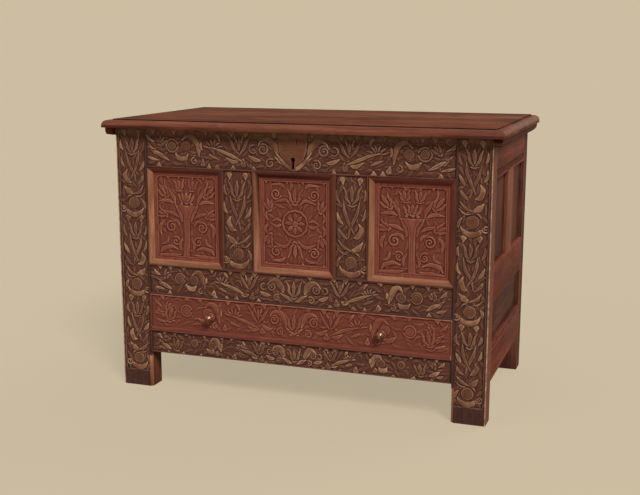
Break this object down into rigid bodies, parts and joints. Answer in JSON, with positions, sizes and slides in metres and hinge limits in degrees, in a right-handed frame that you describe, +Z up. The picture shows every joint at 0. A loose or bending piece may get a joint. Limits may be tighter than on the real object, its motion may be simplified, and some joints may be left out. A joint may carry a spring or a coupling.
{
  "type": "joined chest with drawer",
  "caption": "Joined wooden chest with a carved front, panelled ends, a moulded lid on loop hinges, an inner lock, and a long side-hung drawer below.",
  "frame": {"origin": "on the floor, at the centre of the bounding box seen from above", "axes": "+X to the viewer's right along the front, +Y from the front to the back, +Z up"},
  "size_m": [1.194, 0.648, 0.8213],
  "materials": {
    "frame_wood": "dark brown paint over carved oak, matt with age",
    "panel_wood": "brick red paint over carved oak, matt with age",
    "strip_wood": "light brown moulded wood, worn satin",
    "lid_wood": "red brown pine, waxed",
    "end_wood": "red brown oak, waxed",
    "plain_wood": "unpainted, dry",
    "iron": "wrought iron, dark with age",
    "knob_metal": "turned brass, dulled"
  },
  "bodies": {
    "case": {"drawer_runner_left": "plain_wood", "drawer_runner_right": "plain_wood", "floor_boards": "plain_wood", "frame_pins": "plain_wood", "front_bottom_rail": "frame_wood", "front_middle_rail": "frame_wood", "front_muntin_left": "frame_wood", "front_muntin_right": "frame_wood", "front_panel_left": "panel_wood", "front_panel_middle": "panel_wood", "front_panel_right": "panel_wood", "front_stile_left": "frame_wood", "front_stile_right": "frame_wood", "front_strips_left": "strip_wood", "front_strips_middle": "strip_wood", "front_strips_right": "strip_wood", "front_top_rail": "frame_wood", "hinge_staples": "iron", "lock_case": "iron", "lock_nails": "iron", "rear_bottom_rail": "end_wood", "rear_lower_panel": "end_wood", "rear_middle_rail": "end_wood", "rear_muntin": "end_wood", "rear_stile_left": "end_wood", "rear_stile_right": "end_wood", "rear_top_rail": "end_wood", "rear_upper_panels": "end_wood", "side_bottom_rail_left": "end_wood", "side_bottom_rail_right": "end_wood", "side_lower_panel_left": "end_wood", "side_lower_panel_right": "end_wood", "side_middle_rail_left": "end_wood", "side_middle_rail_right": "end_wood", "side_muntin_left": "end_wood", "side_muntin_right": "end_wood", "side_top_rail_left": "end_wood", "side_top_rail_right": "end_wood", "side_upper_panels_left": "end_wood", "side_upper_panels_right": "end_wood"},
    "lid": {"hinge_eyes": "iron", "lid_board": "lid_wood", "lid_cleat_left": "lid_wood", "lid_cleat_right": "lid_wood", "lid_nails": "iron", "lid_staple": "iron"},
    "drawer": {"drawer_back": "plain_wood", "drawer_bottom": "plain_wood", "drawer_front": "panel_wood", "drawer_knob_left": "knob_metal", "drawer_knob_right": "knob_metal", "drawer_nails": "iron", "drawer_side_left": "plain_wood", "drawer_side_right": "plain_wood"},
    "lock_bolt": {"lock_bolt": "iron"}
  },
  "joints": [
    {"name": "lid_hinge", "type": "hinge", "parent": "case", "child": "lid", "pos_m": [0, 0.3125, 0.7878], "axis": [-1, 0, 0], "range_deg": [0, 100]},
    {"name": "drawer_slide", "type": "slide", "parent": "case", "child": "drawer", "axis": [0, -1, 0], "range_m": [0, 0.4]},
    {"name": "lock_bolt_slide", "type": "slide", "parent": "case", "child": "lock_bolt", "axis": [1, 0, 0], "range_m": [0, 0.01]}
  ]
}
